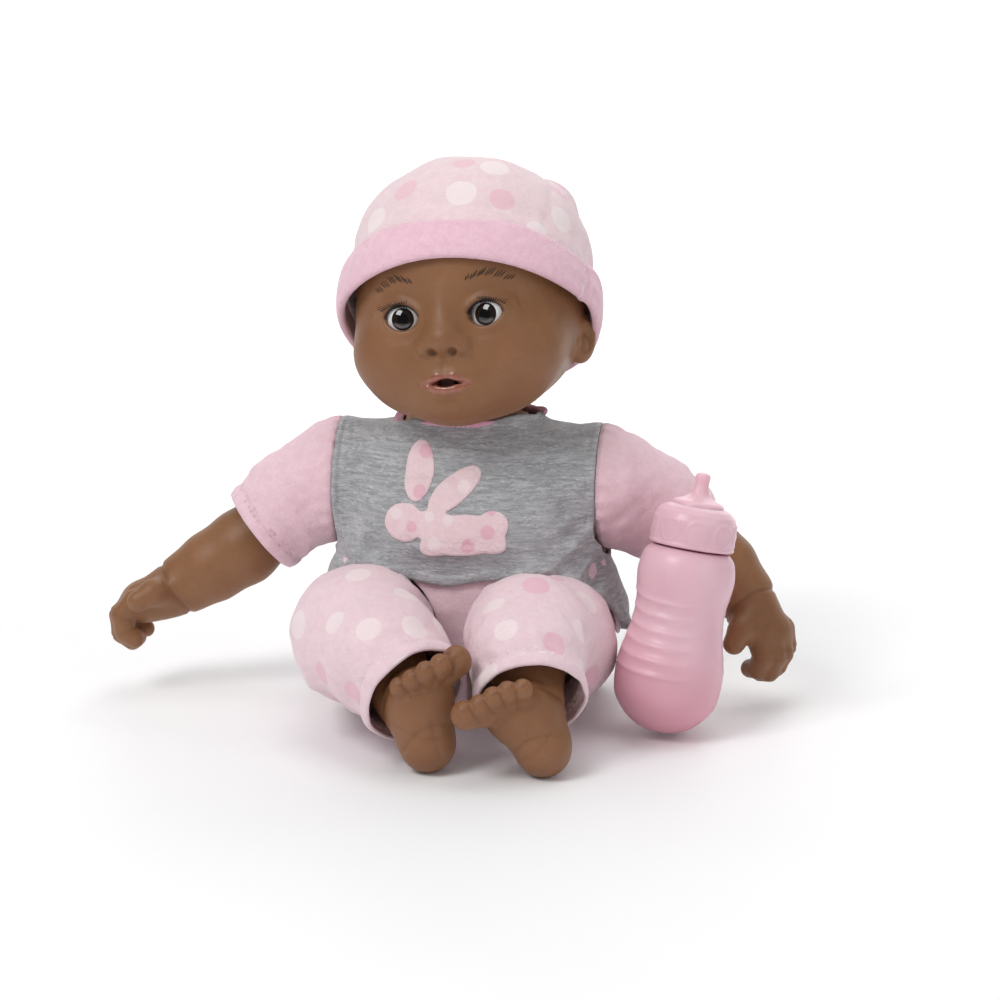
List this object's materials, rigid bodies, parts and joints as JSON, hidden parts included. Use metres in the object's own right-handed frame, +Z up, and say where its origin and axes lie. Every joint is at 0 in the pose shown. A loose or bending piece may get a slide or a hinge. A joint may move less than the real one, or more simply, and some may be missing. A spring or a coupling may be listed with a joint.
{
  "type": "interactive baby doll",
  "caption": "Seated soft-bodied baby doll with vinyl head, hands and feet, sleep eyes, knitted cap and clothes, sound module in the body, and a toy feeding bottle beside it.",
  "frame": {"origin": "middle of the flat seat the doll rests on", "axes": "+Z up, the doll faces -Y, its left hand is at +X"},
  "size_m": [0.2788, 0.169, 0.2142],
  "materials": {
    "stuffed_body_cloth": "plain woven cloth, stuffed",
    "dotted_cotton": "pale pink cotton knit with printed dots",
    "pink_cotton": "plain pink cotton knit",
    "grey_jersey": "heather grey jersey",
    "applique_print": "printed patch with a rabbit outline",
    "hook_and_loop": "hook-and-loop strip",
    "skin_vinyl": "soft brown vinyl, satin",
    "eye_gloss": "clear-coated eyeball",
    "white_plastic": "moulded",
    "black_plastic": "moulded",
    "circuit_board": "solder-masked board",
    "steel": "plated",
    "battery_jacket": "printed cell jacket",
    "tie_nylon": "nylon cable tie",
    "bottle_plastic": "satin pink"
  },
  "bodies": {
    "torso": {"torso_cushion": "stuffed_body_cloth", "pants_seat": "dotted_cotton", "shirt_body": "grey_jersey", "shirt_print": "applique_print", "back_closure": "hook_and_loop", "shirt_neckband": "pink_cotton", "case_front": "white_plastic", "case_back": "white_plastic", "battery_door": "white_plastic", "door_screw": "steel", "battery_1": "battery_jacket", "battery_2": "battery_jacket", "battery_contact_left": "steel", "battery_contact_right": "steel", "circuit_board": "circuit_board", "speaker": "black_plastic", "tummy_switch": "black_plastic", "button_spring": "steel"},
    "neck": {"neck_cloth": "stuffed_body_cloth", "neck_tie": "tie_nylon"},
    "head": {"head_shell": "skin_vinyl", "eye_housing_left": "white_plastic", "eye_housing_right": "white_plastic", "mouth_guide": "white_plastic", "mouth_switch": "black_plastic"},
    "eye_left": {"eye_left": "eye_gloss"},
    "eye_right": {"eye_right": "eye_gloss"},
    "mouth_plunger": {"mouth_plunger": "black_plastic"},
    "hat": {"hat_crown": "dotted_cotton", "hat_cuff": "pink_cotton"},
    "shoulder_link_left": {"shoulder_gusset_left": "stuffed_body_cloth"},
    "shoulder_link_right": {"shoulder_gusset_right": "stuffed_body_cloth"},
    "arm_left": {"sleeve_left": "pink_cotton", "upper_arm_cloth_left": "stuffed_body_cloth", "arm_tie_left": "tie_nylon", "forearm_left": "skin_vinyl"},
    "arm_right": {"sleeve_right": "pink_cotton", "upper_arm_cloth_right": "stuffed_body_cloth", "arm_tie_right": "tie_nylon", "forearm_right": "skin_vinyl"},
    "leg_left": {"pants_leg_left": "dotted_cotton", "thigh_cloth_left": "stuffed_body_cloth", "leg_tie_left": "tie_nylon", "lower_leg_left": "skin_vinyl"},
    "leg_right": {"pants_leg_right": "dotted_cotton", "thigh_cloth_right": "stuffed_body_cloth", "leg_tie_right": "tie_nylon", "lower_leg_right": "skin_vinyl"},
    "tummy_button": {"tummy_button": "white_plastic"},
    "power_slider": {"power_slider": "black_plastic"},
    "bottle": {"bottle_body": "bottle_plastic", "bottle_collar": "bottle_plastic", "bottle_nipple": "bottle_plastic"}
  },
  "joints": [
    {"name": "neck_nod", "type": "hinge", "parent": "torso", "child": "neck", "pos_m": [0.00735, -0.00372, 0.09679], "axis": [1, 0, 0], "range_deg": [-5, 3]},
    {"name": "head_turn", "type": "hinge", "parent": "neck", "child": "head", "pos_m": [0.00735, -0.00372, 0.09679], "axis": [-0.0831, 0.2152, 0.973], "range_deg": [-40, 45]},
    {"name": "eye_left_close", "type": "hinge", "parent": "head", "child": "eye_left", "pos_m": [0.01476, -0.0383, 0.15974], "axis": [0.9908, -0.0873, 0.1039], "range_deg": [0, 60]},
    {"name": "eye_right_close", "type": "hinge", "parent": "head", "child": "eye_right", "pos_m": [-0.01872, -0.03535, 0.15623], "axis": [0.9908, -0.0873, 0.1039], "range_deg": [0, 60]},
    {"name": "mouth_press", "type": "slide", "parent": "head", "child": "mouth_plunger", "axis": [0.1073, 0.9727, -0.2059], "range_m": [0, 0.003], "stiffness_N_per_m": 150},
    {"name": "hat_lift_off", "type": "slide", "parent": "head", "child": "hat", "axis": [-0.0207, 0.6598, 0.7512], "range_m": [0, 0.11]},
    {"name": "arm_right_swing", "type": "hinge", "parent": "torso", "child": "shoulder_link_right", "pos_m": [-0.057, 0.003, 0.086], "axis": [1, 0, 0], "range_deg": [-80, 25]},
    {"name": "arm_right_raise", "type": "hinge", "parent": "shoulder_link_right", "child": "arm_right", "pos_m": [-0.057, 0.003, 0.086], "axis": [0, 1, 0], "range_deg": [0, 75]},
    {"name": "arm_left_swing", "type": "hinge", "parent": "torso", "child": "shoulder_link_left", "pos_m": [0.057, 0.003, 0.086], "axis": [1, 0, 0], "range_deg": [0, 25]},
    {"name": "arm_left_raise", "type": "hinge", "parent": "shoulder_link_left", "child": "arm_left", "pos_m": [0.057, 0.003, 0.086], "axis": [0, -1, 0], "range_deg": [0, 75]},
    {"name": "leg_right_swing", "type": "hinge", "parent": "torso", "child": "leg_right", "pos_m": [-0.031, -0.006, 0.027], "axis": [1, 0, 0], "range_deg": [0, 75]},
    {"name": "leg_left_swing", "type": "hinge", "parent": "torso", "child": "leg_left", "pos_m": [0.032, -0.006, 0.027], "axis": [1, 0, 0], "range_deg": [0, 75]},
    {"name": "tummy_press", "type": "slide", "parent": "torso", "child": "tummy_button", "axis": [0, 1, 0], "range_m": [0, 0.003], "stiffness_N_per_m": 300, "deforming": ["button_spring"]},
    {"name": "power_switch", "type": "slide", "parent": "torso", "child": "power_slider", "axis": [0, 0, 1], "range_m": [0, 0.004]},
    {"name": "bottle_take_away", "type": "slide", "parent": "torso", "child": "bottle", "axis": [0.4501, -0.8601, 0.24], "range_m": [0, 0.12]}
  ],
  "couplings": [
    {"joint": "eye_right_close", "follows": "eye_left_close", "ratio": 1}
  ]
}
